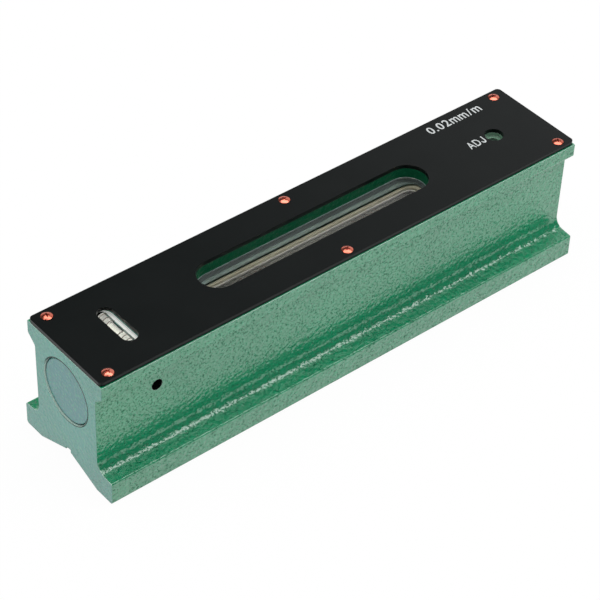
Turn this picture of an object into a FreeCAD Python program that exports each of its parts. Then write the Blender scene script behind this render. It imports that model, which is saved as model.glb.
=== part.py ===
import FreeCAD, Part
import math
import os
import Sketcher

os.makedirs("parts", exist_ok=True)
doc = FreeCAD.newDocument("machinist_level")

# Bar level, 0.02 mm per metre, 200 mm long, millimetres.
# Origin at the middle of the base between the two feet, X along the bar towards the adjusting end,
# Y across it, Z up. The reading side that faces the user is -Y.

# Driving dimensions, in mm. Everything else is worked out from these.
drivingSizes = [
    ("bodyLength", 200.0, "casting, end to end"),
    ("castTop", 47.0, "machined top of the casting above the feet"),
    ("waistHalfTop", 16.05, "half width of the waist under the lip"),
    ("waistDraft", 0.2, "waist, how much narrower it is above the feet"),
    ("waistFillet", 4.0, "cast fillet between waist and foot"),
    ("lipOverhang", 3.6, "lip beyond the waist"),
    ("lipFaceHeight", 4.8, "upright face of the lip"),
    ("lipSlopeHeight", 3.3, "sloping underside of the lip"),
    ("lipRootFillet", 1.2, "cast fillet under the lip"),
    ("lipFaceFillet", 0.8, "round at the lip's lower edge"),
    ("footReach", 7.6, "foot beyond the waist"),
    ("footEdgeHeight", 8.75, "top of the foot at its outer edge"),
    ("footRise", 0.65, "top of the foot, its rise towards the waist"),
    ("footEdgeFillet", 0.6, "round at the foot's upper edge"),
    ("soleWidth", 8.25, "flat sole of each foot"),
    ("soleChamfer", 0.6, "chamfer at the outer edges of the soles"),
    ("grooveApex", 5.84, "height where the vee's flanks would meet"),
    ("reliefHalfWidth", 1.2, "relief slot at the apex"),
    ("reliefRise", 0.66, "roof of the relief slot above the apex"),
    ("boreRadius", 10.0, "long bore"),
    ("boreRoof", 6.0, "metal between the long bore and the casting's top"),
    ("plugSeatStep", 1.7, "counterbore for an end plug, wider than the bore"),
    ("plugSeatDepth", 6.0, "counterbore for an end plug"),
    ("plugClearance", 0.3, "end plug to its counterbore"),
    ("plugRecess", 0.45, "end plug below the casting's end"),
    ("plugChamfer", 0.3, "end plug, outer edge"),
    ("nickHalfWidth", 2.0, "nick for prising out an end plug"),
    ("nickDepth", 0.7, "nick for prising out an end plug"),
    ("nickRun", 1.5, "nick, its length along the bar"),
    ("windowWidth", 14.0, "reading window"),
    ("ledgeDrop", 0.1, "ledge below the roof of the bore"),
    ("ledgeWidth", 1.2, "ledge that carries the pane"),
    ("gasketThickness", 0.3, "bedding under the pane"),
    ("paneThickness", 2.0, "window pane"),
    ("paneClearance", 0.15, "pane to the slot's wall"),
    ("crossVialInset", 20.2, "cross vial from the casting's end"),
    ("crossVialShift", 0.6, "cross vial off the centre line"),
    ("crossVialRadius", 2.35, "cross vial, outside"),
    ("crossVialWall", 0.55, "cross vial, glass"),
    ("crossVialLength", 19.0, "cross vial, end to end"),
    ("crossVialDepth", 0.1, "top of the cross vial under the cover"),
    ("crossBedUnder", 0.3, "plaster under the cross vial"),
    ("crossBedSide", 1.45, "plaster beside the cross vial"),
    ("crossBedEnd", 1.5, "plaster past each end of the cross vial"),
    ("crossBedRise", 0.5, "plaster above the cross vial's axis"),
    ("crossBubble", 6.0, "bubble of the cross vial"),
    ("crossBubbleDepth", 0.5, "bubble of the cross vial"),
    ("crossWindowWidth", 5.7, "small window along the bar"),
    ("crossWindowLength", 18.2, "small window across the bar"),
    ("adjustInset", 20.0, "adjusting screw from the casting's end"),
    ("adjustMouthRadius", 3.3, "key hole in the cover and its recess below"),
    ("adjustRecessDepth", 1.4, "key recess in the casting"),
    ("adjustThreadRadius", 2.0, "tapped hole for the adjusting screw"),
    ("pivotInset", 23.4, "pivot screw from the casting's end"),
    ("pivotRise", 1.7, "pivot screw above the bore's axis"),
    ("pivotThreadRadius", 2.0, "tapped hole in the near wall"),
    ("pivotShaftRadius", 1.5, "plain part of the pivot screw"),
    ("pivotHeadRecess", 3.0, "pivot screw below the outer wall"),
    ("pivotThreadShort", 0.05, "thread's inner end short of the bore"),
    ("pivotBlindWall", 2.85, "metal left behind the blind hole"),
    ("pivotTipGap", 0.3, "pivot screw's tip to the end of its hole"),
    ("pivotSlitHalf", 0.3, "screwdriver slot of the pivot screw"),
    ("pivotSlitDepth", 0.9, "screwdriver slot of the pivot screw"),
    ("coverEndInset", 0.1, "cover inside the casting's ends"),
    ("coverSideInset", 0.5, "cover inside the lip's faces"),
    ("coverThickness", 1.5, "cover plate"),
    ("coverCorner", 1.5, "corner round of the cover plate"),
    ("screwInset", 5.0, "outer cover screws from the casting's ends"),
    ("screwSideInset", 3.55, "cover screws from the lip's faces"),
    ("screwShank", 0.98, "cover screw, thread radius"),
    ("screwHead", 1.95, "cover screw, head radius"),
    ("screwLand", 0.06, "upright edge of the screw's head"),
    ("screwDome", 0.6, "cover screw, height of the raised head"),
    ("screwReach", 5.0, "cover screw below the cover's top"),
    ("crossArm", 0.95, "cross recess, half length"),
    ("crossSlit", 0.2, "cross recess, half width"),
    ("crossDepth", 0.6, "cross recess"),
    ("threadClearance", 0.02, "radial clearance of the cover screws"),
    ("sinkMargin", 0.2, "countersink wider than the head"),
    ("coverHoleMargin", 0.17, "cover's hole wider than the screw"),
    ("tapBeyond", 1.1, "tapped hole below the cover screw"),
    ("fitClearance", 0.03, "radial clearance of turned fits"),
    ("pinClearance", 0.01, "radial clearance of the tube's pins"),
    ("tubeClearance", 0.7, "vial holder tube to the bore"),
    ("tubeWall", 1.4, "vial holder tube"),
    ("tubePastPivot", 9.4, "tube past the pivot screw"),
    ("tubeShort", 10.0, "tube short of the adjusting screw"),
    ("slotShort", 5.0, "tube's slot shorter than the window"),
    ("readingSlotWidth", 7.0, "slot milled in the top of the tube"),
    ("plugPastPivot", 10.6, "pivot plug past the pivot screw, inwards"),
    ("spigotLength", 12.0, "adjusting block inside the tube"),
    ("blockPastScrew", 8.0, "adjusting block past the adjusting screw"),
    ("blockClearance", 1.0, "adjusting block to the bore"),
    ("blockFlatDrop", 1.6, "flat on top of the adjusting block"),
    ("springPocketRadius", 2.8, "pocket under the adjusting block"),
    ("springPocketDrop", 2.0, "roof of that pocket below the bore's axis"),
    ("crossPinRadius", 1.0, "pins through the tube"),
    ("crossPinShort", 0.2, "pins below the tube's outside"),
    ("leftPinSpacing", 5.6, "pin of the pivot plug from the pivot"),
    ("rightPinSpacing", 6.0, "pin of the adjusting block from the tube's end"),
    ("plasterWall", 0.9, "plaster between the main vial and the tube"),
    ("vialWall", 1.1, "main vial, glass"),
    ("vialRoom", 6.0, "main vial to the adjusting block"),
    ("vialPastWindow", 4.5, "main vial past each end of the window"),
    ("stopperLength", 3.0, "ground stopper in each end"),
    ("plasterOverlap", 5.0, "plaster over each end of the vial"),
    ("plasterCap", 3.5, "plaster past each end of the vial"),
    ("liquidClearance", 0.02, "liquid to glass, and the spring's cup to the bore"),
    ("bubbleLength", 36.0, "main bubble"),
    ("bubbleDepth", 1.3, "main bubble"),
    ("bubbleWidth", 7.4, "main bubble"),
    ("padHeight", 1.68, "thrust pad under the adjusting screw"),
    ("padWall", 1.2, "thrust pad round the screw's point"),
    ("padGap", 0.02, "thrust pad to the block's flat, and to the screw's point"),
    ("shoulderGap", 0.1, "thrust pad to the screw's shoulder"),
    ("pointStep", 0.8, "screw's point, smaller than its thread"),
    ("pointLength", 0.75, "screw's point"),
    ("adjustScrewDrop", 2.2, "adjusting screw below the casting's top"),
    ("adjustBevel", 0.35, "ends of the adjusting screw"),
    ("keyAcross", 2.0, "hexagon socket, across flats"),
    ("keyDepth", 2.2, "hexagon socket"),
    ("wireRadius", 0.25, "spring wire"),
    ("springPitch", 1.15, "spring"),
    ("springSide", 0.6, "spring to the wall of its pocket"),
    ("springEndGap", 0.05, "spring to its cup and to its pocket's roof"),
    ("seatRise", 1.6, "top of the spring's cup above the bore's floor"),
    ("seatClearance", 0.4, "spring's cup to the wall of the pocket"),
]


class Size:
    # A size that keeps both its number and the spreadsheet formula that gives it.
    def __init__(self, value, formula=None):
        self.value = float(value)
        self.formula = formula or str(float(value))

    def join(self, other, sign, value):
        return Size(value, "(%s %s %s)" % (self.formula, sign, other.formula))

    def __add__(self, other):
        other = asSize(other)
        return self.join(other, "+", self.value + other.value)

    def __sub__(self, other):
        other = asSize(other)
        return self.join(other, "-", self.value - other.value)

    def __mul__(self, other):
        other = asSize(other)
        return self.join(other, "*", self.value * other.value)

    def __truediv__(self, other):
        other = asSize(other)
        return self.join(other, "/", self.value / other.value)

    def __neg__(self):
        return Size(-1) * self


def asSize(thing):
    return thing if isinstance(thing, Size) else Size(thing)


class Sheet:
    # The spreadsheet, with each driving dimension as an attribute of the same name.
    def __init__(self, rows):
        self.table = doc.addObject("Spreadsheet::Sheet", "Sizes")
        for number, (name, value, note) in enumerate(rows, start=1):
            self.table.set("A%d" % number, name)
            self.table.set("B%d" % number, str(value))
            self.table.set("C%d" % number, note)
            self.table.setAlias("B%d" % number, name)
            setattr(self, name, Size(value, "Sizes.%s" % name))


dims = Sheet(drivingSizes)
doc.recompute()
subParts = []


# Building helpers
def bind(thing, prop, size):
    thing.setExpression(prop, asSize(size).formula)


def newBody(name, x=0, y=0, z=0, turn=0.0, axis=(0, 0, 1)):
    body = doc.addObject("PartDesign::Body", name)
    body.Label = name
    body.Placement.Rotation = FreeCAD.Rotation(FreeCAD.Vector(*axis), turn)
    bind(body, ".Placement.Base.x", x)
    bind(body, ".Placement.Base.y", y)
    bind(body, ".Placement.Base.z", z)
    return body


def keep(thing):
    subParts.append(thing)
    return thing


def newSketch(body, name, role, offset=0):
    sketch = body.newObject("Sketcher::SketchObject", name)
    plane = next(item for item in body.Origin.OriginFeatures if item.Role == role)
    sketch.AttachmentSupport = [(plane, "")]
    sketch.MapMode = "FlatFace"
    bind(sketch, ".AttachmentOffset.Base.z", offset)
    return sketch


def pin(sketch, geometry, vertex, point):
    # Hold one point of the sketch at its distances from the sketch's origin.
    for kind, size in zip(("DistanceX", "DistanceY"), point):
        size = asSize(size)
        index = sketch.addConstraint(Sketcher.Constraint(kind, -1, 1, geometry, vertex, size.value))
        sketch.setExpression("Constraints[%d]" % index, size.formula)


def flat(point):
    return FreeCAD.Vector(asSize(point[0]).value, asSize(point[1]).value, 0)


def drawOutline(sketch, points):
    first = sketch.GeometryCount
    count = len(points)
    for index in range(count):
        line = Part.LineSegment(flat(points[index]), flat(points[(index + 1) % count]))
        sketch.addGeometry(line, False)
    for index in range(count):
        following = first + (index + 1) % count
        sketch.addConstraint(Sketcher.Constraint("Coincident", first + index, 2, following, 1))
        pin(sketch, first + index, 1, points[index])


def drawCircle(sketch, centre, radius):
    radius = asSize(radius)
    circle = Part.Circle(flat(centre), FreeCAD.Vector(0, 0, 1), radius.value)
    index = sketch.addGeometry(circle, False)
    pin(sketch, index, 3, centre)
    rule = sketch.addConstraint(Sketcher.Constraint("Radius", index, radius.value))
    sketch.setExpression("Constraints[%d]" % rule, radius.formula)


def drawObround(sketch, centre, length, width):
    # A slot outline with round ends, its long side along the sketch's first axis.
    radius = asSize(width) / 2
    reach = asSize(length) / 2 - radius
    up = FreeCAD.Vector(0, 0, 1)
    ends = [(centre[0] + reach, -90), (centre[0] - reach, 90)]
    arcs = []
    for endX, start in ends:
        circle = Part.Circle(flat((endX, centre[1])), up, radius.value)
        arc = Part.ArcOfCircle(circle, math.radians(start), math.radians(start + 180))
        arcs.append(sketch.addGeometry(arc, False))
        pin(sketch, arcs[-1], 3, (endX, centre[1]))
    for here, there in ((0, 1), (1, 0)):
        startPoint = sketch.getPoint(arcs[here], 2)
        endPoint = sketch.getPoint(arcs[there], 1)
        side = sketch.addGeometry(Part.LineSegment(startPoint, endPoint), False)
        sketch.addConstraint(Sketcher.Constraint("Tangent", arcs[here], 2, side, 1))
        sketch.addConstraint(Sketcher.Constraint("Tangent", side, 2, arcs[there], 1))
    sketch.addConstraint(Sketcher.Constraint("Equal", arcs[0], arcs[1]))
    rule = sketch.addConstraint(Sketcher.Constraint("Radius", arcs[0], radius.value))
    sketch.setExpression("Constraints[%d]" % rule, radius.formula)


def drawDome(sketch, radius, rise):
    # Half of a dome's section on the sketch's second axis: flat base, crown arc, axis.
    crown = (radius.value ** 2 + rise.value ** 2) / (rise.value * 2)
    circle = Part.Circle(flat((0, rise.value - crown)), FreeCAD.Vector(0, 0, 1), crown)
    start = math.atan2(crown - rise.value, radius.value)
    base = sketch.addGeometry(Part.LineSegment(flat((0, 0)), flat((radius, 0))), False)
    arc = sketch.addGeometry(Part.ArcOfCircle(circle, start, math.pi / 2), False)
    axis = sketch.addGeometry(Part.LineSegment(flat((0, rise)), flat((0, 0))), False)
    for here, there in ((base, arc), (arc, axis), (axis, base)):
        sketch.addConstraint(Sketcher.Constraint("Coincident", here, 2, there, 1))
    sketch.addConstraint(Sketcher.Constraint("PointOnObject", arc, 3, -2))
    pin(sketch, base, 1, (Size(0), Size(0)))
    pin(sketch, arc, 1, (radius, Size(0)))
    pin(sketch, axis, 1, (Size(0), rise))


def addFeature(body, kind, name, sketch, length=None, both=False, back=False, through=False):
    feature = body.newObject("PartDesign::" + kind, name)
    feature.Profile = sketch
    if through:
        feature.Type = "ThroughAll"
    if length is not None:
        bind(feature, "Length", length)
    if both:
        feature.SideType = "Symmetric"
    feature.Reversed = back
    sketch.Visibility = False
    body.Tip = feature
    doc.recompute()
    return feature


def revolve(body, kind, name, sketch, axis):
    feature = body.newObject("PartDesign::" + kind, name)
    feature.Profile = sketch
    feature.ReferenceAxis = (sketch, [axis])
    feature.Angle = 360.0
    body.Tip = feature
    doc.recompute()
    return feature


def lineAxis(sketch, start, end):
    # A construction line that a profile is turned about.
    index = sketch.addGeometry(Part.LineSegment(flat(start), flat(end)), True)
    pin(sketch, index, 1, start)
    pin(sketch, index, 2, end)


def dress(body, kind, name, size, test):
    # A fillet or chamfer on each edge of the tip that passes the test.
    base = body.Tip
    names = ["Edge%d" % (number + 1) for number, edge in enumerate(base.Shape.Edges) if test(edge)]
    feature = body.newObject("PartDesign::" + kind, name)
    feature.Base = (base, names)
    bind(feature, "Radius" if kind == "Fillet" else "Size", size)
    body.Tip = feature
    doc.recompute()
    return feature


def alongBar(y, z):
    # Test for a long edge that runs along X at the given height and distance from the centre.
    def test(edge):
        box = edge.BoundBox
        level = abs(box.ZMin - z.value) < 0.01 and abs(box.ZMax - z.value) < 0.01
        aside = abs(abs(box.YMin) - y.value) < 0.01 and abs(abs(box.YMax) - y.value) < 0.01
        return level and aside and box.XLength > 1
    return test


def turnedBody(name, points, x=0, y=0, z=0, along="X", turn=0.0):
    # A turned piece from half of its lengthwise section. The section's first number runs along
    # the turning axis when that lies along X or Y, and is the radius when it stands along Z.
    body = newBody(name, x, y, z, turn)
    role = "YZ_Plane" if along == "Y" else "XZ_Plane"
    axis = "V_Axis" if along == "Z" else "H_Axis"
    sketch = newSketch(body, name + "_section", role)
    drawOutline(sketch, points)
    revolve(body, "Revolution", name + "_turned", sketch, axis)
    return body


# Sizes that follow from the driving ones
halfLength = dims.bodyLength / 2
coverTop = dims.castTop + dims.coverThickness
boreHeight = dims.castTop - dims.boreRoof - dims.boreRadius
boreTop = boreHeight + dims.boreRadius
waistHalfBottom = dims.waistHalfTop - dims.waistDraft
lipHalfWidth = dims.waistHalfTop + dims.lipOverhang
lipFaceBottom = dims.castTop - dims.lipFaceHeight
lipRootHeight = lipFaceBottom - dims.lipSlopeHeight
footHalfWidth = waistHalfBottom + dims.footReach
footRootHeight = dims.footEdgeHeight + dims.footRise
grooveHalfWidth = footHalfWidth - dims.soleWidth
plugSeatRadius = dims.boreRadius + dims.plugSeatStep
ledgeHeight = boreTop - dims.ledgeDrop

adjustX = halfLength - dims.adjustInset
pivotX = dims.pivotInset - halfLength
pivotHeight = boreHeight + dims.pivotRise
pivotHole = dims.pivotShaftRadius + dims.fitClearance
screwX = halfLength - dims.screwInset
screwY = lipHalfWidth - dims.screwSideInset

crossVialX = dims.crossVialInset - halfLength
crossVialAxis = dims.castTop - dims.crossVialDepth - dims.crossVialRadius
crossVialBore = dims.crossVialRadius - dims.crossVialWall
crossPocketFloor = crossVialAxis - dims.crossVialRadius - dims.crossBedUnder
crossPocketWidth = (dims.crossVialRadius + dims.crossBedSide) * 2
crossPocketLength = dims.crossVialLength + dims.crossBedEnd * 2

tubeRadius = dims.boreRadius - dims.tubeClearance
tubeBore = tubeRadius - dims.tubeWall
tubeStart = pivotX - dims.tubePastPivot
tubeEnd = adjustX - dims.tubeShort
insideFit = tubeBore - dims.fitClearance
blockStart = tubeEnd - dims.spigotLength
blockRadius = dims.boreRadius - dims.blockClearance
blockFlat = boreHeight + blockRadius - dims.blockFlatDrop
springRoof = boreHeight - dims.springPocketDrop
leftPinX = pivotX + dims.leftPinSpacing
rightPinX = tubeEnd - dims.rightPinSpacing
pinHole = dims.crossPinRadius + dims.pinClearance

vialRadius = tubeBore - dims.plasterWall
vialBore = vialRadius - dims.vialWall
vialHalf = blockStart - dims.vialRoom
vialInnerEnd = vialHalf - dims.stopperLength
windowLength = (vialHalf - dims.vialPastWindow) * 2
throatLength = windowLength - dims.ledgeWidth * 2
throatWidth = dims.windowWidth - dims.ledgeWidth * 2
centre = (Size(0), Size(0))
beyond = Size(2)   # cuts start this far outside what they cut


# Casting: lip, waist, feet, vee groove, long bore, reading slot, pockets and tapped holes
def baseCasting():
    body = newBody("base_casting")
    section = newSketch(body, "casting_section", "YZ_Plane")
    slope = dims.grooveApex / grooveHalfWidth
    half = [
        (dims.reliefHalfWidth, dims.grooveApex + dims.reliefRise),
        (dims.reliefHalfWidth, dims.grooveApex - dims.reliefHalfWidth * slope),
        (grooveHalfWidth, Size(0)),
        (footHalfWidth, Size(0)),
        (footHalfWidth, dims.footEdgeHeight),
        (waistHalfBottom, footRootHeight),
        (dims.waistHalfTop, lipRootHeight),
        (lipHalfWidth, lipFaceBottom),
        (lipHalfWidth, dims.castTop),
    ]
    drawOutline(section, half + [(-y, z) for y, z in reversed(half)])
    addFeature(body, "Pad", "casting_bar", section, dims.bodyLength, both=True)
    dress(body, "Fillet", "waist_fillets", dims.waistFillet,
          alongBar(waistHalfBottom, footRootHeight))
    dress(body, "Fillet", "lip_root_fillets", dims.lipRootFillet,
          alongBar(dims.waistHalfTop, lipRootHeight))
    dress(body, "Fillet", "lip_face_fillets", dims.lipFaceFillet,
          alongBar(lipHalfWidth, lipFaceBottom))
    dress(body, "Fillet", "foot_edge_fillets", dims.footEdgeFillet,
          alongBar(footHalfWidth, dims.footEdgeHeight))
    dress(body, "Chamfer", "sole_chamfers", dims.soleChamfer, alongBar(footHalfWidth, Size(0)))

    bore = newSketch(body, "bore_section", "XZ_Plane")
    lineAxis(bore, (-halfLength, boreHeight), (halfLength, boreHeight))
    seatInner = halfLength - dims.plugSeatDepth
    drawOutline(bore, [
        (-halfLength, boreHeight),
        (-halfLength, boreHeight + plugSeatRadius),
        (-seatInner, boreHeight + plugSeatRadius),
        (-seatInner, boreHeight + dims.boreRadius),
        (seatInner, boreHeight + dims.boreRadius),
        (seatInner, boreHeight + plugSeatRadius),
        (halfLength, boreHeight + plugSeatRadius),
        (halfLength, boreHeight),
    ])
    revolve(body, "Groove", "long_bore", bore, "Axis0")

    slot = newSketch(body, "slot_outline", "XY_Plane", dims.castTop)
    drawObround(slot, centre, windowLength, dims.windowWidth)
    addFeature(body, "Pocket", "reading_slot", slot, dims.castTop - ledgeHeight)
    throat = newSketch(body, "throat_outline", "XY_Plane", ledgeHeight)
    drawObround(throat, centre, throatLength, throatWidth)
    addFeature(body, "Pocket", "slot_throat", throat, ledgeHeight - boreHeight)

    pocket = newSketch(body, "cross_pocket_outline", "XY_Plane", dims.castTop)
    bind(pocket, ".AttachmentOffset.Base.x", crossVialX)
    bind(pocket, ".AttachmentOffset.Base.y", dims.crossVialShift)
    pocket.AttachmentOffset.Rotation = FreeCAD.Rotation(FreeCAD.Vector(0, 0, 1), 90)
    drawObround(pocket, centre, crossPocketLength, crossPocketWidth)
    addFeature(body, "Pocket", "cross_pocket", pocket, dims.castTop - crossPocketFloor)

    recess = newSketch(body, "key_recess_outline", "XY_Plane", dims.castTop)
    drawCircle(recess, (adjustX, Size(0)), dims.adjustMouthRadius)
    addFeature(body, "Pocket", "key_recess", recess, dims.adjustRecessDepth)
    thread = newSketch(body, "adjust_thread_outline", "XY_Plane", dims.castTop)
    drawCircle(thread, (adjustX, Size(0)), dims.adjustThreadRadius)
    addFeature(body, "Pocket", "adjust_thread", thread, dims.castTop - boreHeight)

    taps = newSketch(body, "cover_tap_outline", "XY_Plane", dims.castTop)
    for column in (-1, 0, 1):
        for row in (-1, 1):
            drawCircle(taps, (screwX * column, screwY * row), dims.screwShank + dims.threadClearance)
    addFeature(body, "Pocket", "cover_taps", taps, dims.screwReach - dims.coverThickness + dims.tapBeyond)

    outside = footHalfWidth
    near = newSketch(body, "pivot_thread_outline", "XZ_Plane", outside)
    drawCircle(near, (pivotX, pivotHeight), dims.pivotThreadRadius)
    addFeature(body, "Pocket", "pivot_thread", near, outside)
    far = newSketch(body, "pivot_blind_outline", "XZ_Plane", outside)
    drawCircle(far, (pivotX, pivotHeight), pivotHole)
    addFeature(body, "Pocket", "pivot_blind_hole", far, outside + dims.waistHalfTop - dims.pivotBlindWall)
    return keep(body)


# Cover plate: black sheet with the two windows, the key hole and six countersunk holes
def coverPlate():
    body = newBody("cover_plate", z=dims.castTop)
    outline = newSketch(body, "cover_outline", "XY_Plane")
    endX = halfLength - dims.coverEndInset
    sideY = lipHalfWidth - dims.coverSideInset
    drawOutline(outline, [(-endX, -sideY), (endX, -sideY), (endX, sideY), (-endX, sideY)])
    addFeature(body, "Pad", "cover_sheet", outline, dims.coverThickness)
    dress(body, "Fillet", "cover_corners", dims.coverCorner,
          lambda edge: edge.BoundBox.ZLength > 1 and edge.BoundBox.XLength < 0.01)

    windows = newSketch(body, "window_outlines", "XY_Plane", dims.coverThickness)
    drawObround(windows, centre, windowLength, dims.windowWidth)
    drawCircle(windows, (adjustX, Size(0)), dims.adjustMouthRadius)
    addFeature(body, "Pocket", "window_and_key_hole", windows, through=True)
    small = newSketch(body, "cross_window_outline", "XY_Plane", dims.coverThickness)
    bind(small, ".AttachmentOffset.Base.x", crossVialX)
    small.AttachmentOffset.Rotation = FreeCAD.Rotation(FreeCAD.Vector(0, 0, 1), 90)
    drawObround(small, centre, dims.crossWindowLength, dims.crossWindowWidth)
    addFeature(body, "Pocket", "cross_window", small, through=True)

    sink = newSketch(body, "countersink_section", "XZ_Plane", screwY)
    lineAxis(sink, (-screwX, Size(0)), (-screwX, dims.coverThickness))
    holeRadius = dims.screwShank + dims.coverHoleMargin
    sinkRadius = dims.screwHead + dims.sinkMargin
    drawOutline(sink, [
        (-screwX, Size(0)),
        (holeRadius - screwX, Size(0)),
        (holeRadius - screwX, dims.coverThickness + holeRadius - sinkRadius),
        (sinkRadius - screwX, dims.coverThickness),
        (-screwX, dims.coverThickness),
    ])
    hole = revolve(body, "Groove", "countersunk_hole", sink, "Axis0")
    pattern = body.newObject("PartDesign::MultiTransform", "screw_hole_pattern")
    pattern.Originals = [hole]
    lengthwise = body.newObject("PartDesign::LinearPattern", "holes_along")
    lengthwise.Direction = (windows, ["H_Axis"])
    bind(lengthwise, "Length", screwX * 2)
    lengthwise.Occurrences = 3
    crosswise = body.newObject("PartDesign::LinearPattern", "holes_across")
    crosswise.Direction = (windows, ["V_Axis"])
    bind(crosswise, "Length", screwY * 2)
    crosswise.Occurrences = 2
    pattern.Transformations = [lengthwise, crosswise]
    body.Tip = pattern
    doc.recompute()
    return keep(body)


# Cover screws: raised countersunk heads with a cross recess, six alike
def coverScrew(name, x, y, turn):
    body = newBody(name, x, y, coverTop, turn)
    section = newSketch(body, name + "_section", "XZ_Plane")
    sunk = dims.screwHead - dims.screwShank + dims.screwLand
    drawOutline(section, [
        (Size(0), -dims.screwReach),
        (dims.screwShank, -dims.screwReach),
        (dims.screwShank, -sunk),
        (dims.screwHead, -dims.screwLand),
        (dims.screwHead, Size(0)),
        (Size(0), Size(0)),
    ])
    revolve(body, "Revolution", name + "_turned", section, "V_Axis")
    dome = newSketch(body, name + "_dome_section", "XZ_Plane")
    drawDome(dome, dims.screwHead, dims.screwDome)
    revolve(body, "Revolution", name + "_dome", dome, "V_Axis")
    cross = newSketch(body, name + "_cross_outline", "XY_Plane", dims.screwDome)
    slit = dims.crossSlit
    quarter = [(dims.crossArm, -slit), (dims.crossArm, slit), (slit, slit)]
    points = []
    for _ in range(4):
        points += quarter
        quarter = [(-y, x) for x, y in quarter]
    drawOutline(cross, points)
    addFeature(body, "Pocket", name + "_cross", cross, dims.crossDepth)
    return body


def coverScrews():
    turns = [12.0, 71.0, 38.0, 5.0, 54.0, 83.0]
    places = [(column, row) for column in (-1, 0, 1) for row in (-1, 1)]
    screws = []
    for number, ((column, row), turn) in enumerate(zip(places, turns), start=1):
        screws.append(coverScrew("cover_screw_%d" % number, screwX * column, screwY * row, turn))
    group = doc.addObject("Part::Compound", "cover_screws")
    group.Label = "cover_screws"
    group.Links = screws
    return keep(group)


# End plugs: discs that close the long bore, each with a small nick for prising it out
nickAngle = 122.0   # degrees round the plug, from +Y


def endPlug(name, turn):
    plugRadius = plugSeatRadius - dims.plugClearance
    face = dims.plugRecess - halfLength
    seatFloor = dims.plugSeatDepth - halfLength
    body = turnedBody(name, [
        (face, Size(0)), (face, plugRadius - dims.plugChamfer), (face + dims.plugChamfer, plugRadius),
        (seatFloor, plugRadius), (seatFloor, Size(0)),
    ], z=boreHeight, turn=turn)
    nick = newSketch(body, name + "_nick_outline", "YZ_Plane", -halfLength)
    nick.AttachmentOffset.Rotation = FreeCAD.Rotation(FreeCAD.Vector(0, 0, 1), nickAngle)
    inner = plugRadius - dims.nickDepth
    outer = plugRadius + beyond
    half = dims.nickHalfWidth
    drawOutline(nick, [(inner, -half), (outer, -half), (outer, half), (inner, half)])
    addFeature(body, "Pocket", name + "_nick", nick, dims.plugRecess + dims.nickRun, back=True)
    return keep(body)


# Window pane and the bedding that it lies on
def windowPane():
    length = windowLength - dims.paneClearance * 2
    width = dims.windowWidth - dims.paneClearance * 2
    gasket = newBody("pane_gasket", z=ledgeHeight)
    ring = newSketch(gasket, "gasket_outline", "XY_Plane")
    drawObround(ring, centre, length, width)
    drawObround(ring, centre, throatLength, throatWidth)
    addFeature(gasket, "Pad", "gasket_ring", ring, dims.gasketThickness)
    pane = newBody("window_pane", z=ledgeHeight + dims.gasketThickness)
    outline = newSketch(pane, "pane_outline", "XY_Plane")
    drawObround(outline, centre, length, width)
    addFeature(pane, "Pad", "pane_sheet", outline, dims.paneThickness)
    keep(gasket)
    return keep(pane)


# Cross vial: sealed glass tube, its spirit and the plaster that it is set in
def crossVial():
    half = dims.crossVialLength / 2
    glass = turnedBody("cross_vial", [
        (-half, Size(0)), (-half, dims.crossVialRadius), (half, dims.crossVialRadius), (half, Size(0)),
    ], crossVialX, dims.crossVialShift, crossVialAxis, along="Y")
    dress(glass, "Fillet", "sealed_ends", dims.crossVialRadius * 0.7,
          lambda edge: edge.BoundBox.YLength < 0.01 and edge.BoundBox.ZLength > 1)
    inner = half - dims.crossVialWall * 3
    cavity = newSketch(glass, "cross_cavity_section", "YZ_Plane")
    drawOutline(cavity, [
        (-inner, Size(0)), (-inner, crossVialBore), (inner, crossVialBore), (inner, Size(0)),
    ])
    revolve(glass, "Groove", "cross_cavity", cavity, "H_Axis")
    keep(glass)

    spirit = newBody("cross_vial_spirit", crossVialX, dims.crossVialShift, crossVialAxis)
    round_ = newSketch(spirit, "cross_spirit_outline", "XZ_Plane")
    spiritRadius = crossVialBore - dims.liquidClearance
    drawCircle(round_, centre, spiritRadius)
    addFeature(spirit, "Pad", "cross_spirit_rod", round_, (inner - dims.liquidClearance) * 2, both=True)
    bubble = newSketch(spirit, "cross_bubble_outline", "XY_Plane", spiritRadius - dims.crossBubbleDepth)
    bubble.AttachmentOffset.Rotation = FreeCAD.Rotation(FreeCAD.Vector(0, 0, 1), 90)
    drawObround(bubble, centre, dims.crossBubble, spiritRadius * 1.5)
    addFeature(spirit, "Pocket", "cross_bubble", bubble, beyond, back=True)
    keep(spirit)

    bed = newBody("cross_vial_bed", crossVialX, dims.crossVialShift, crossPocketFloor)
    fill = newSketch(bed, "cross_bed_outline", "XY_Plane")
    fill.AttachmentOffset.Rotation = FreeCAD.Rotation(FreeCAD.Vector(0, 0, 1), 90)
    drawObround(fill, centre, crossPocketLength - dims.fitClearance * 2,
                crossPocketWidth - dims.fitClearance * 2)
    addFeature(bed, "Pad", "cross_bed_fill", fill, crossVialAxis - crossPocketFloor + dims.crossBedRise)
    trough = newSketch(bed, "cross_trough_outline", "XZ_Plane")
    drawCircle(trough, (Size(0), crossVialAxis - crossPocketFloor), dims.crossVialRadius + dims.fitClearance)
    addFeature(bed, "Pocket", "cross_trough", trough, dims.crossVialLength + dims.fitClearance * 2, both=True)
    return keep(bed)


# Vial holder: tube with its reading slot, a pivot plug and an adjusting block pinned into it
def crossHole(body, name, x, z, radius):
    sketch = newSketch(body, name + "_outline", "XZ_Plane")
    drawCircle(sketch, (x, z), radius)
    addFeature(body, "Pocket", name, sketch, through=True, both=True)


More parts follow.
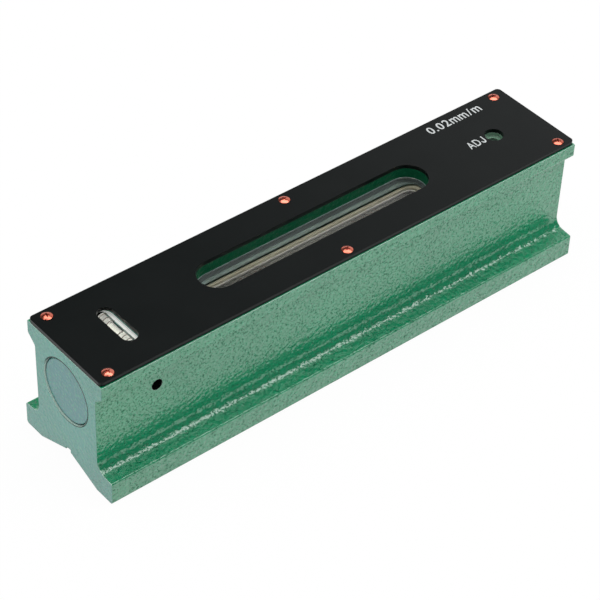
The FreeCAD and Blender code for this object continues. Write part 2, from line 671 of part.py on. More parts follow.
def vialHolder():
    tube = turnedBody("vial_tube", [
        (tubeStart, tubeBore), (tubeStart, tubeRadius),
        (tubeEnd, tubeRadius), (tubeEnd, tubeBore),
    ], z=boreHeight)
    slot = newSketch(tube, "tube_slot_outline", "XY_Plane", tubeRadius + beyond)
    drawObround(slot, centre, windowLength - dims.slotShort, dims.readingSlotWidth)
    addFeature(tube, "Pocket", "tube_slot", slot, tubeRadius + beyond)
    crossHole(tube, "tube_pivot_hole", pivotX, dims.pivotRise, pivotHole)
    crossHole(tube, "tube_left_pin_hole", leftPinX, Size(0), pinHole)
    crossHole(tube, "tube_right_pin_hole", rightPinX, Size(0), pinHole)
    keep(tube)

    plugEnd = pivotX + dims.plugPastPivot
    plug = turnedBody("pivot_plug", [
        (tubeStart, Size(0)), (tubeStart, insideFit), (plugEnd, insideFit), (plugEnd, Size(0)),
    ], z=boreHeight)
    crossHole(plug, "plug_pivot_hole", pivotX, dims.pivotRise, pivotHole)
    crossHole(plug, "plug_pin_hole", leftPinX, Size(0), pinHole)
    keep(plug)

    blockEnd = adjustX + dims.blockPastScrew
    block = turnedBody("adjusting_block", [
        (blockStart, Size(0)), (blockStart, insideFit),
        (tubeEnd, insideFit), (tubeEnd, blockRadius),
        (blockEnd, blockRadius), (blockEnd, Size(0)),
    ], z=boreHeight)
    crossHole(block, "block_pin_hole", rightPinX, Size(0), pinHole)
    top = newSketch(block, "block_flat_outline", "XY_Plane", blockRadius + beyond)
    drawOutline(top, [
        (tubeEnd + beyond, -blockRadius), (blockEnd + beyond, -blockRadius),
        (blockEnd + beyond, blockRadius), (tubeEnd + beyond, blockRadius),
    ])
    flatDrop = blockRadius + beyond - (blockFlat - boreHeight)
    addFeature(block, "Pocket", "block_flat", top, flatDrop)
    well = newSketch(block, "spring_pocket_outline", "XY_Plane", -blockRadius - beyond)
    drawCircle(well, (adjustX, Size(0)), dims.springPocketRadius)
    wellRise = springRoof - boreHeight + blockRadius + beyond
    addFeature(block, "Pocket", "spring_pocket", well, wellRise, back=True)
    keep(block)

    pins = newBody("tube_pins", z=boreHeight)
    pins.AllowCompound = True
    end = newSketch(pins, "pin_outline", "XZ_Plane")
    drawCircle(end, (leftPinX, Size(0)), dims.crossPinRadius)
    rod = addFeature(pins, "Pad", "pin_rod", end, (tubeRadius - dims.crossPinShort) * 2, both=True)
    pair = pins.newObject("PartDesign::LinearPattern", "pin_pair")
    pair.Originals = [rod]
    pair.Direction = (end, ["H_Axis"])
    bind(pair, "Length", rightPinX - leftPinX)
    pair.Occurrences = 2
    pins.Tip = pair
    doc.recompute()
    return keep(pins)


# Main vial: ground glass tube with a stopper in each end, the spirit and the plaster settings
def mainVial():
    glass = turnedBody("main_vial", [
        (-vialHalf, vialBore), (-vialHalf, vialRadius),
        (vialHalf, vialRadius), (vialHalf, vialBore),
    ], z=boreHeight)
    keep(glass)

    spiritRadius = vialBore - dims.liquidClearance
    spirit = newBody("main_vial_spirit", z=boreHeight)
    round_ = newSketch(spirit, "spirit_outline", "YZ_Plane")
    drawCircle(round_, centre, spiritRadius)
    addFeature(spirit, "Pad", "spirit_rod", round_, (vialInnerEnd - dims.liquidClearance) * 2, both=True)
    bubble = newSketch(spirit, "bubble_outline", "XY_Plane", spiritRadius - dims.bubbleDepth)
    drawObround(bubble, centre, dims.bubbleLength, dims.bubbleWidth)
    addFeature(spirit, "Pocket", "bubble", bubble, beyond, back=True)
    keep(spirit)

    plasterStart = vialHalf - dims.plasterOverlap
    plasterEnd = vialHalf + dims.plasterCap
    vialSeat = vialRadius + dims.fitClearance
    for name, turn in (("left", 180.0), ("right", 0.0)):
        stopper = turnedBody("vial_stopper_" + name, [
            (vialInnerEnd, Size(0)), (vialInnerEnd, spiritRadius),
            (vialHalf, spiritRadius), (vialHalf, Size(0)),
        ], z=boreHeight, turn=turn)
        keep(stopper)
        plaster = turnedBody("vial_plaster_" + name, [
            (plasterStart, vialSeat), (plasterStart, insideFit),
            (plasterEnd, insideFit), (plasterEnd, Size(0)),
            (vialHalf, Size(0)), (vialHalf, vialSeat),
        ], z=boreHeight, turn=turn)
        keep(plaster)


# Pivot screw: slotted thread in the near wall, plain shaft through the holder to the far wall
def pivotScrew():
    threadRadius = dims.pivotThreadRadius - dims.fitClearance
    outer = dims.waistHalfTop - dims.pivotHeadRecess
    inner = dims.boreRadius + dims.pivotThreadShort
    tip = dims.waistHalfTop - dims.pivotBlindWall - dims.pivotTipGap
    body = turnedBody("pivot_screw", [
        (-outer, Size(0)), (-outer, threadRadius), (-inner, threadRadius),
        (-inner, dims.pivotShaftRadius), (tip, dims.pivotShaftRadius), (tip, Size(0)),
    ], pivotX, 0, pivotHeight, along="Y")
    slit = newSketch(body, "pivot_slot_outline", "XZ_Plane", outer)
    slit.AttachmentOffset.Rotation = FreeCAD.Rotation(FreeCAD.Vector(0, 0, 1), 25)
    half = dims.pivotSlitHalf
    reach = dims.pivotThreadRadius + beyond
    drawOutline(slit, [(-reach, -half), (reach, -half), (reach, half), (-reach, half)])
    addFeature(body, "Pocket", "pivot_slot", slit, dims.pivotSlitDepth)
    return keep(body)


# Adjusting screw with its hexagon socket, the pad that it pushes and the return spring
def adjustingParts():
    pointRadius = dims.adjustThreadRadius - dims.pointStep
    padRadius = pointRadius + dims.padWall
    padBottom = blockFlat + dims.padGap
    shoulder = padBottom + dims.padHeight + dims.shoulderGap
    threadRadius = dims.adjustThreadRadius - dims.fitClearance
    length = dims.castTop - dims.adjustScrewDrop - shoulder
    bevel = dims.adjustBevel
    screw = turnedBody("adjusting_screw", [
        (Size(0), -dims.pointLength), (pointRadius, -dims.pointLength), (pointRadius, Size(0)),
        (threadRadius - bevel, Size(0)), (threadRadius, bevel), (threadRadius, length - bevel),
        (threadRadius - bevel, length), (Size(0), length),
    ], adjustX, 0, shoulder, along="Z")
    socket = newSketch(screw, "key_socket_outline", "XY_Plane", length)
    corner = dims.keyAcross / 2 / math.cos(math.radians(30))
    turns = [math.radians(60 * step) for step in range(6)]
    drawOutline(socket, [(corner * math.cos(turn), corner * math.sin(turn)) for turn in turns])
    addFeature(screw, "Pocket", "key_socket", socket, dims.keyDepth)
    keep(screw)

    pointBore = pointRadius + dims.fitClearance * 2
    pointFloor = shoulder - dims.pointLength - padBottom - dims.padGap
    pad = turnedBody("thrust_pad", [
        (Size(0), Size(0)), (padRadius, Size(0)), (padRadius, dims.padHeight),
        (pointBore, dims.padHeight), (pointBore, pointFloor), (Size(0), pointFloor),
    ], adjustX, 0, padBottom, along="Z")
    keep(pad)

    seatTop = boreHeight - dims.boreRadius + dims.seatRise
    coilEnd = dims.wireRadius + dims.springEndGap
    spring = newBody("return_spring", adjustX, 0, seatTop + coilEnd)
    wire = newSketch(spring, "wire_section", "XZ_Plane")
    drawCircle(wire, (dims.springPocketRadius - dims.springSide - dims.wireRadius, Size(0)), dims.wireRadius)
    coil = spring.newObject("PartDesign::AdditiveHelix", "spring_coil")
    coil.Profile = wire
    coil.ReferenceAxis = (wire, ["V_Axis"])
    coil.Mode = "pitch-height-angle"
    bind(coil, "Pitch", dims.springPitch)
    bind(coil, "Height", springRoof - seatTop - coilEnd * 2)
    spring.Tip = coil
    doc.recompute()
    keep(spring)

    seatRadius = dims.springPocketRadius - dims.seatClearance
    seat = doc.addObject("Part::Common", "spring_seat")
    seat.Label = "spring_seat"
    disc = doc.addObject("Part::Cylinder", "seat_disc")
    bind(disc, "Radius", seatRadius)
    bind(disc, "Height", dims.boreRadius)
    bind(disc, ".Placement.Base.x", adjustX)
    bind(disc, ".Placement.Base.z", seatTop - dims.boreRadius)
    barrel = doc.addObject("Part::Cylinder", "seat_barrel")
    bind(barrel, "Radius", dims.boreRadius - dims.liquidClearance)
    bind(barrel, "Height", seatRadius * 4)
    barrel.Placement.Rotation = FreeCAD.Rotation(FreeCAD.Vector(0, 1, 0), 90)
    bind(barrel, ".Placement.Base.x", adjustX - seatRadius * 2)
    bind(barrel, ".Placement.Base.z", boreHeight)
    seat.Base = disc
    seat.Tool = barrel
    doc.recompute()
    return keep(seat)


baseCasting()
coverPlate()
coverScrews()
endPlug("end_plug_left", 0.0)
endPlug("end_plug_right", 180.0)
windowPane()
crossVial()
vialHolder()
mainVial()
pivotScrew()
adjustingParts()
doc.recompute()

# Every object must be sound, and every cut must take something away
for item in doc.Objects:
    if "Invalid" in item.State or "Error" in item.State:
        raise RuntimeError("failed object: %s %s" % (item.Name, item.State))
    if item.TypeId in ("PartDesign::Pocket", "PartDesign::Groove"):
        removed = item.BaseFeature.Shape.Volume - item.Shape.Volume
        if removed < 0.05:
            raise RuntimeError("cut removes nothing: %s" % item.Name)

for part in subParts:
    shape = part.Shape
    if shape.isNull() or not shape.isValid() or not shape.Solids:
        raise RuntimeError("bad shape: %s" % part.Label)
    box = shape.BoundBox
    shape.exportStep("parts/%s.step" % part.Label)
    print("%-18s solids %d volume %10.2f  x %8.2f %8.2f  y %7.2f %7.2f  z %6.2f %6.2f" % (
        part.Label, len(shape.Solids), shape.Volume,
        box.XMin, box.XMax, box.YMin, box.YMax, box.ZMin, box.ZMax))
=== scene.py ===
import math
import bpy
from mathutils import Matrix, Vector


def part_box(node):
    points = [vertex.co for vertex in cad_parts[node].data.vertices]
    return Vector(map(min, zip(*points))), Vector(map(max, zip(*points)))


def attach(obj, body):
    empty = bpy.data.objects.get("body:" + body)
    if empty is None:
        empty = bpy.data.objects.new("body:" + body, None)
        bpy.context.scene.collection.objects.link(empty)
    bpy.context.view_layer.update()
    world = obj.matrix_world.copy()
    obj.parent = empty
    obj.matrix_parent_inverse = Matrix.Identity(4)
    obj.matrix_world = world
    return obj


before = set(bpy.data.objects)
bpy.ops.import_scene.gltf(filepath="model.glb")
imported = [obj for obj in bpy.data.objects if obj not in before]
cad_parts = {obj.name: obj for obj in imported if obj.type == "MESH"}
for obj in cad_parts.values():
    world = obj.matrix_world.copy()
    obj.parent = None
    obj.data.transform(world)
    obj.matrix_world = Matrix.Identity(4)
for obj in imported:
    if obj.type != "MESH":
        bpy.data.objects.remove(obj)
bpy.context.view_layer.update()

# bar level: hammered green casting, black cover, copper screws, glass vials
# metres, X along the bar, Z up, the side that is read faces -Y
mm = 0.001
scene = bpy.context.scene
scene.view_settings.view_transform = "Standard"


def rgb(red, green, blue):
    # 0-255 display colour to the linear colour that the shaders want
    def linear(value):
        value = value / 255
        return value / 12.92 if value <= 0.04045 else ((value + 0.055) / 1.055) ** 2.4
    return (linear(red), linear(green), linear(blue), 1.0)


def grey(value):
    return (value, value, value, 1.0)


# node helpers
editor = {"columns": 10, "across": 260, "down": 420}
bevelSamples = 6


def addNode(tree, kind, **settings):
    # nodes fill the editor row by row
    row, column = divmod(len(tree.nodes), editor["columns"])
    node = tree.nodes.new(kind)
    node.location = (column * editor["across"], -row * editor["down"])
    for name, value in settings.items():
        setattr(node, name, value)
    return node


def feed(tree, target, value):
    # a socket is linked to the target, anything else becomes its value
    if isinstance(value, bpy.types.NodeSocket):
        tree.links.new(value, target)
    else:
        target.default_value = value


def mathNode(tree, operation, *values):
    node = addNode(tree, "ShaderNodeMath", operation=operation)
    for target, value in zip(node.inputs, values):
        feed(tree, target, value)
    return node.outputs[0]


def vectorNode(tree, operation, *values):
    node = addNode(tree, "ShaderNodeVectorMath", operation=operation)
    for target, value in zip(node.inputs, values):
        feed(tree, target, value)
    return node.outputs["Value" if operation in ("LENGTH", "DOT_PRODUCT") else "Vector"]


def axesOf(tree, vector):
    node = addNode(tree, "ShaderNodeSeparateXYZ")
    feed(tree, node.inputs[0], vector)
    return node.outputs


def mixColor(tree, factor, first, second):
    node = addNode(tree, "ShaderNodeMix", data_type="RGBA")
    for index, value in ((0, factor), (6, first), (7, second)):
        feed(tree, node.inputs[index], value)
    return node.outputs[2]


def mixValue(tree, factor, first, second):
    node = addNode(tree, "ShaderNodeMix")
    for index, value in ((0, factor), (2, first), (3, second)):
        feed(tree, node.inputs[index], value)
    return node.outputs[0]


def mixShader(tree, factor, first, second):
    node = addNode(tree, "ShaderNodeMixShader")
    for target, value in zip(node.inputs, (factor, first, second)):
        feed(tree, target, value)
    return node.outputs[0]


def rampNode(tree, source, stops):
    # stops are places with the grey value that each one gives
    node = addNode(tree, "ShaderNodeValToRGB")
    ramp = node.color_ramp
    while len(ramp.elements) < len(stops):
        ramp.elements.new(1.0)
    for element, (place, value) in zip(ramp.elements, stops):
        element.position = place
        element.color = grey(value)
    feed(tree, node.inputs[0], source)
    return node.outputs[0]


def noiseNode(tree, vector, scale, detail, roughness=0.5):
    node = addNode(tree, "ShaderNodeTexNoise")
    for label, value in (("Vector", vector), ("Scale", scale), ("Detail", detail), ("Roughness", roughness)):
        feed(tree, node.inputs[label], value)
    return node.outputs


def bumpNode(tree, height, distance, strength, normal=None):
    node = addNode(tree, "ShaderNodeBump")
    feed(tree, node.inputs["Height"], height)
    feed(tree, node.inputs["Distance"], distance)
    feed(tree, node.inputs["Strength"], strength)
    if normal is not None:
        feed(tree, node.inputs["Normal"], normal)
    return node.outputs["Normal"]


def bevelNormal(tree, radius):
    node = addNode(tree, "ShaderNodeBevel", samples=bevelSamples)
    feed(tree, node.inputs["Radius"], radius)
    return node.outputs["Normal"]


def newGroup(name, inputs, outputs):
    group = bpy.data.node_groups.new(name, "ShaderNodeTree")
    for label, kind, value in inputs:
        socket = group.interface.new_socket(label, in_out="INPUT", socket_type=kind)
        socket.default_value = value
    for label, kind in outputs:
        group.interface.new_socket(label, in_out="OUTPUT", socket_type=kind)
    entry = addNode(group, "NodeGroupInput")
    result = addNode(group, "NodeGroupOutput")
    return group, entry.outputs, result.inputs


def placeGroup(tree, group, **values):
    node = addNode(tree, "ShaderNodeGroup", node_tree=group)
    for label, value in values.items():
        feed(tree, node.inputs[label.replace("_", " ")], value)
    return node.outputs


def newMaterial(name, **settings):
    material = bpy.data.materials.new(name)
    material.use_nodes = True
    tree = material.node_tree
    shader = tree.nodes["Principled BSDF"]
    for label, value in settings.items():
        shader.inputs[label.replace("_", " ")].default_value = value
    return material, tree, shader


# shared effects
hammer = {
    "detail": 2.0,
    "warpScale": 420.0,      # noise that bends the cells
    "warp": 1.1 * mm,
    "smoothness": 0.6,
    "pitScale": 1300.0,
    "pitDetail": 3.0,
    "pitNoise": 0.6,
    "driftScale": 45.0,
    "pitStops": [(0.32, 1.0), (0.40, 0.6), (0.46, 0.0)],
    "glintStops": [(0.10, 0.55), (0.45, 0.0)],
    "driftStops": [(0.35, 0.0), (0.70, 0.22)],
    "dome": -0.55,           # height against the distance from a cell's middle
    "pitDepth": 0.2,
    "rough": 0.34,
    "pitRough": 0.2,
    "pitSheen": -1.1,
}


def hammeredGroup():
    # hammered enamel: pooled cells with thin dark pits between them, and a slow drift of tone
    group, entry, result = newGroup("hammered enamel", [
        ("Base", "NodeSocketColor", rgb(40, 134, 97)),
        ("Pit", "NodeSocketColor", rgb(20, 96, 66)),
        ("Glint", "NodeSocketColor", rgb(60, 150, 115)),
        ("Cell Scale", "NodeSocketFloat", 620.0),
        ("Pit Amount", "NodeSocketFloat", 0.5),
    ], [
        ("Color", "NodeSocketColor"),
        ("Height", "NodeSocketFloat"),
        ("Rough", "NodeSocketFloat"),
        ("Sheen", "NodeSocketFloat"),
    ])
    place = addNode(group, "ShaderNodeTexCoord").outputs["Object"]
    warp = noiseNode(group, place, hammer["warpScale"], hammer["detail"])["Color"]
    shifted = vectorNode(group, "MULTIPLY_ADD", warp, (hammer["warp"],) * 3, place)
    voronoi = addNode(group, "ShaderNodeTexVoronoi", feature="SMOOTH_F1")
    feed(group, voronoi.inputs["Vector"], shifted)
    feed(group, voronoi.inputs["Scale"], entry["Cell Scale"])
    feed(group, voronoi.inputs["Smoothness"], hammer["smoothness"])
    cells = voronoi.outputs["Distance"]
    pits = noiseNode(group, shifted, hammer["pitScale"], hammer["pitDetail"], hammer["pitNoise"])["Fac"]
    drift = noiseNode(group, place, hammer["driftScale"], hammer["detail"])["Fac"]

    pitMask = mathNode(group, "MULTIPLY", rampNode(group, pits, hammer["pitStops"]), entry["Pit Amount"])
    toned = mixColor(group, rampNode(group, cells, hammer["glintStops"]), entry["Base"], entry["Glint"])
    toned = mixColor(group, rampNode(group, drift, hammer["driftStops"]), toned, entry["Pit"])
    feed(group, result["Color"], mixColor(group, pitMask, toned, entry["Pit"]))
    domes = mathNode(group, "MULTIPLY", cells, hammer["dome"])
    sunk = mathNode(group, "MULTIPLY", pitMask, hammer["pitDepth"])
    feed(group, result["Height"], mathNode(group, "SUBTRACT", domes, sunk))
    rough = mathNode(group, "MULTIPLY_ADD", pitMask, hammer["pitRough"], hammer["rough"])
    feed(group, result["Rough"], rough)
    sheen = mathNode(group, "MULTIPLY_ADD", pitMask, hammer["pitSheen"], 1.0)
    sheen.node.use_clamp = True
    feed(group, result["Sheen"], sheen)
    return group


fine = {
    "detail": 3.0,
    "cloudScale": 60.0,
    "cloudStops": [(0.38, 0.0), (0.68, 1.0)],
}


def fineGrainGroup():
    # even fine grain for plated, moulded and satin surfaces
    group, entry, result = newGroup("fine grain", [
        ("Color", "NodeSocketColor", rgb(128, 128, 128)),
        ("Worn", "NodeSocketColor", rgb(150, 150, 150)),
        ("Grain Scale", "NodeSocketFloat", 1500.0),
        ("Stretch", "NodeSocketVector", (1.0, 1.0, 1.0)),
        ("Rough Low", "NodeSocketFloat", 0.3),
        ("Rough High", "NodeSocketFloat", 0.45),
    ], [
        ("Color", "NodeSocketColor"),
        ("Height", "NodeSocketFloat"),
        ("Rough", "NodeSocketFloat"),
    ])
    place = addNode(group, "ShaderNodeTexCoord").outputs["Object"]
    stretched = vectorNode(group, "MULTIPLY", place, entry["Stretch"])
    grain = noiseNode(group, stretched, entry["Grain Scale"], fine["detail"])["Fac"]
    cloud = noiseNode(group, place, fine["cloudScale"], fine["detail"])["Fac"]
    worn = rampNode(group, cloud, fine["cloudStops"])
    feed(group, result["Color"], mixColor(group, worn, entry["Color"], entry["Worn"]))
    feed(group, result["Height"], grain)
    spread = mathNode(group, "SUBTRACT", entry["Rough High"], entry["Rough Low"])
    feed(group, result["Rough"], mathNode(group, "MULTIPLY_ADD", spread, grain, entry["Rough Low"]))
    return group


hammered = hammeredGroup()
fineGrain = fineGrainGroup()


def layGrain(tree, shader, colors, roughs, scale, stretch=(1.0, 1.0, 1.0)):
    # fine grain in the shader's colour and roughness
    grain = placeGroup(tree, fineGrain, Color=colors[0], Worn=colors[1], Grain_Scale=scale, Stretch=stretch,
                       Rough_Low=roughs[0], Rough_High=roughs[1])
    feed(tree, shader.inputs["Base Color"], grain["Color"])
    feed(tree, shader.inputs["Roughness"], grain["Rough"])
    return grain


# paint
paint = {
    "base": rgb(6, 140, 94),
    "pit": rgb(2, 88, 60),
    "glint": rgb(38, 160, 118),
    # end faces: bluer as painted cool light and sheen, on top of a smoother coat that is real
    "endBase": rgb(12, 138, 124),
    "plugBase": rgb(12, 122, 122),
    # darker green on the slot walls: painted shade
    "slotShade": rgb(6, 84, 54),
    "keyBase": rgb(104, 140, 118),
    # pale edges and bore rim: painted highlight
    "edge": rgb(206, 232, 220),
    # dark arc round each plug: painted shadow
    "seamShadow": rgb(18, 38, 34),
    # near black in the side hole: painted shade
    "holeShade": rgb(10, 14, 12),
    "bare": rgb(156, 176, 176),
    "ground": (rgb(150, 152, 150), rgb(170, 171, 168)),
    "groundRough": (0.22, 0.4),
    "groundScale": 900.0,
    "groundStretch": (1.0, 0.05, 1.0),
    "specular": 0.1,
    "coatIndex": 2.0,
    "coatRough": 0.19,
    "rounding": 0.25 * mm,
    "bump": 0.36 * mm,
    "cellScale": 620.0,
    "pits": 0.75,
    # the end faces against the rest of the casting
    "endCells": 1.2,
    "endPits": 0.16,
    "endSheen": 0.82,
    "endFlatter": -0.6,
    "endStops": [(0.90, 0.0), (0.97, 1.0)],
    # the end plugs against the casting
    "plugCells": 1.3,
    "plugPits": 0.12,
    "plugSheen": 0.72,
    "plugBump": 0.35,
    # where each finish lies: reaches are measured from the middle, or from the axis of the bore or hole
    "soleTop": 6.6 * mm,
    "soleFacing": -0.5,
    "boreHeight": 31.0 * mm,
    "boreReach": 12.2 * mm,
    "insideReach": 99.4 * mm,
    "paneTop": 43.3 * mm,
    "underPaneHeight": 12.0 * mm,
    "underPaneReach": 8.5 * mm,
    "slotReachX": 60.0 * mm,
    "slotReachY": 7.4 * mm,
    "seamAt": 11.92 * mm,
    "seamWidth": 0.25 * mm,
    "seamSide": (0.0, -0.94, 0.34),
    "seamFade": 50.0,
    "seamShift": 0.5,
    "seamStops": [(0.0, 0.0), (0.15, 0.9)],
    "rimAt": 11.7 * mm,
    "rimWidth": 0.08 * mm,
    "highlightRounding": 0.5 * mm,
    "highlightTurnStops": [(0.80, 0.9), (0.99, 0.0)],
    "upwardStops": [(0.2, 0.0), (0.5, 1.0)],
    "sideHole": (-76.6 * mm, 32.7 * mm),
    "sideHoleReach": 2.1 * mm,
    "keyHole": (80.0 * mm, 0.0),
    "keyHoleReach": 3.5 * mm,
    "keyHoleFloor": 40.0 * mm,
}


def paintedShader(name):
    return newMaterial(name, Specular_IOR_Level=paint["specular"], Coat_IOR=paint["coatIndex"],
                       Coat_Roughness=paint["coatRough"])


def layPaint(tree, base, cellScale, pits):
    return placeGroup(tree, hammered, Base=base, Pit=paint["pit"], Glint=paint["glint"],
                      Cell_Scale=cellScale, Pit_Amount=pits)


def roundPaint(tree, shader, height, bump):
    # the paint's relief over rounded edges
    normal = bumpNode(tree, height, bump, 1.0, bevelNormal(tree, paint["rounding"]))
    feed(tree, shader.inputs["Normal"], normal)
    feed(tree, shader.inputs["Coat Normal"], normal)


def invert(tree, mask):
    return mathNode(tree, "SUBTRACT", 1.0, mask)


def fromBore(tree, position):
    # the way from the axis of the bore, and its length
    away = vectorNode(tree, "MULTIPLY_ADD", position, (0.0, 1.0, 1.0), (0.0, 0.0, -paint["boreHeight"]))
    return away, vectorNode(tree, "LENGTH", away)


def within(tree, source, middle, reach):
    # 1 where the source is no farther than the reach from the middle
    return mathNode(tree, "COMPARE", source, middle, reach)


def nearLine(tree, across, along, centre, reach):
    # 1 inside a round hole, from the two coordinates of its section
    wide = mathNode(tree, "SUBTRACT", across, centre[0])
    high = mathNode(tree, "SUBTRACT", along, centre[1])
    square = mathNode(tree, "MULTIPLY_ADD", high, high, mathNode(tree, "MULTIPLY", wide, wide))
    return mathNode(tree, "LESS_THAN", square, reach * reach)


def groundMask(tree, spot, facing):
    # the soles and the vee
    low = mathNode(tree, "LESS_THAN", spot["Z"], paint["soleTop"])
    return mathNode(tree, "MULTIPLY", low, mathNode(tree, "LESS_THAN", facing["Z"], paint["soleFacing"]))


def insideMask(tree, spot, radius):
    # the bore and what lies under the pane
    inBore = mathNode(tree, "LESS_THAN", radius, paint["boreReach"])
    across = within(tree, spot["Y"], 0.0, paint["underPaneReach"])
    below = within(tree, spot["Z"], paint["paneTop"] - paint["underPaneHeight"], paint["underPaneHeight"])
    inside = mathNode(tree, "MAXIMUM", inBore, mathNode(tree, "MULTIPLY", across, below))
    return mathNode(tree, "MULTIPLY", inside, within(tree, spot["X"], 0.0, paint["insideReach"]))


def slotMask(tree, spot):
    # the walls of the reading slot, which get a darker green and lose their gloss as painted shade
    across = within(tree, spot["Y"], 0.0, paint["slotReachY"])
    return mathNode(tree, "MULTIPLY", across, within(tree, spot["X"], 0.0, paint["slotReachX"]))


def seamShadowMask(tree, away, radius, endMask):
    # painted shadow round each end plug, where the bore's upper edge shades it, faded out on the far side
    ring = within(tree, radius, paint["seamAt"], paint["seamWidth"])
    side = vectorNode(tree, "DOT_PRODUCT", away, paint["seamSide"])
    fade = mathNode(tree, "MULTIPLY_ADD", side, paint["seamFade"], paint["seamShift"])
    seamShadow = mathNode(tree, "MULTIPLY", ring, rampNode(tree, fade, paint["seamStops"]))
    return mathNode(tree, "MULTIPLY", seamShadow, endMask)


def edgeHighlightMask(tree, shape, radius, endMask):
    # painted highlight on edges that look upward, from the turn of the bevelled normal, and on the rim of the
    # bore
    bevel = bevelNormal(tree, paint["highlightRounding"])
    turn = vectorNode(tree, "DOT_PRODUCT", bevel, shape["Normal"])
    upward = rampNode(tree, axesOf(tree, bevel)["Z"], paint["upwardStops"])
    edges = mathNode(tree, "MULTIPLY", rampNode(tree, turn, paint["highlightTurnStops"]), upward)
    rim = within(tree, radius, paint["rimAt"], paint["rimWidth"])
    return mathNode(tree, "MAXIMUM", edges, mathNode(tree, "MULTIPLY", rim, invert(tree, endMask)))


# the side hole's inside, painted near black as shade
def sideHoleMask(tree, spot):
    hole = nearLine(tree, spot["X"], spot["Z"], paint["sideHole"], paint["sideHoleReach"])
    return mathNode(tree, "MULTIPLY", hole, mathNode(tree, "LESS_THAN", spot["Y"], 0.0))


def keyHoleMask(tree, spot):
    hole = nearLine(tree, spot["X"], spot["Y"], paint["keyHole"], paint["keyHoleReach"])
    return mathNode(tree, "MULTIPLY", hole, mathNode(tree, "GREATER_THAN", spot["Z"], paint["keyHoleFloor"]))


def plugMaterial():
    # smoother enamel than on the casting
    material, tree, shader = paintedShader("plug paint")
    coat = layPaint(tree, paint["plugBase"], paint["cellScale"] * paint["plugCells"], paint["plugPits"])
    feed(tree, shader.inputs["Base Color"], coat["Color"])
    feed(tree, shader.inputs["Roughness"], coat["Rough"])
    feed(tree, shader.inputs["Coat Weight"], mathNode(tree, "MULTIPLY", coat["Sheen"], paint["plugSheen"]))
    roundPaint(tree, shader, coat["Height"], paint["bump"] * paint["plugBump"])
    return material


def castingMaterial():
    # hammered enamel, smoother on the end faces and bluer there as painted cool light, a darker green painted
    # shade in the slot, with ground soles and vee
    material, tree, shader = paintedShader("hammered green paint")
    body = layPaint(tree, paint["base"], paint["cellScale"], paint["pits"])
    ends = layPaint(tree, paint["endBase"], paint["cellScale"] * paint["endCells"], paint["endPits"])
    ground = placeGroup(tree, fineGrain, Color=paint["ground"][0], Worn=paint["ground"][1],
                        Grain_Scale=paint["groundScale"], Stretch=paint["groundStretch"],
                        Rough_Low=paint["groundRough"][0], Rough_High=paint["groundRough"][1])
    shape = addNode(tree, "ShaderNodeNewGeometry").outputs
    spot = axesOf(tree, shape["Position"])
    facing = axesOf(tree, shape["True Normal"])
    away, radius = fromBore(tree, shape["Position"])
    endMask = rampNode(tree, mathNode(tree, "ABSOLUTE", facing["X"]), paint["endStops"])
    seamShadow = seamShadowMask(tree, away, radius, endMask)
    inSlot = slotMask(tree, spot)
    inside = insideMask(tree, spot, radius)
    layers = [
        (endMask, ends["Color"]),
        (seamShadow, paint["seamShadow"]),
        (edgeHighlightMask(tree, shape, radius, endMask), paint["edge"]),
        (inSlot, paint["slotShade"]),
        (inside, paint["bare"]),
        (sideHoleMask(tree, spot), paint["holeShade"]),
        (keyHoleMask(tree, spot), paint["keyBase"]),
        (groundMask(tree, spot, facing), ground["Color"]),
    ]
    color = body["Color"]
    for mask, tone in layers:
        color = mixColor(tree, mask, color, tone)
    feed(tree, shader.inputs["Base Color"], color)
    feed(tree, shader.inputs["Roughness"], body["Rough"])
    # no gloss in the slot, which deepens its painted shade, inside, and in the painted shadow round the plugs
    endSheen = mathNode(tree, "MULTIPLY", ends["Sheen"], paint["endSheen"])
    sheen = mixValue(tree, endMask, body["Sheen"], endSheen)
    dull = mathNode(tree, "MAXIMUM", mathNode(tree, "MAXIMUM", inSlot, inside), seamShadow)
    feed(tree, shader.inputs["Coat Weight"], mathNode(tree, "MULTIPLY", sheen, invert(tree, dull)))
    relief = mathNode(tree, "MULTIPLY_ADD", endMask, paint["endFlatter"], 1.0)
    roundPaint(tree, shader, mathNode(tree, "MULTIPLY", body["Height"], relief), paint["bump"])
    return material


# black cover
cover = {
    "colors": (rgb(4, 9, 9), rgb(7, 12, 12)),
    "roughs": (0.28, 0.34),
    "specular": 0.22,
    "grainScale": 1800.0,
    "bump": 0.01 * mm,
    "strength": 0.6,
    "rounding": 0.15 * mm,
}


def coverMaterial():
    material, tree, shader = newMaterial("black satin plate", Specular_IOR_Level=cover["specular"])
    grain = layGrain(tree, shader, cover["colors"], cover["roughs"], cover["grainScale"])
    rounded = bevelNormal(tree, cover["rounding"])
    normal = bumpNode(tree, grain["Height"], cover["bump"], cover["strength"], rounded)
    feed(tree, shader.inputs["Normal"], normal)
    return material


# metals: two colours, two roughnesses, how metallic
metals = {
    "copper screws": ((rgb(222, 124, 104), rgb(200, 98, 78)), (0.2, 0.28), 1.0),
    "turned brass": ((rgb(196, 172, 112), rgb(178, 150, 92)), (0.22, 0.34), 1.0),
    "nickel plate": ((rgb(184, 178, 156), rgb(172, 164, 142)), (0.3, 0.4), 0.35),
    "ground steel": ((rgb(176, 178, 180), rgb(160, 161, 163)), (0.2, 0.35), 1.0),
    "black steel": ((rgb(46, 46, 48), rgb(60, 60, 62)), (0.35, 0.5), 1.0),
}
metalGrain = {
    "scale": 1400.0,
    "stretch": (0.25, 1.0, 1.0),
    "bump": 0.02 * mm,
    "strength": 0.5,
    "rounding": 0.08 * mm,
}
tube = {
    "stretch": (0.1, 1.0, 1.0),
    "enamel": rgb(246, 244, 236),
    "enamelReach": 8.4 * mm,
}


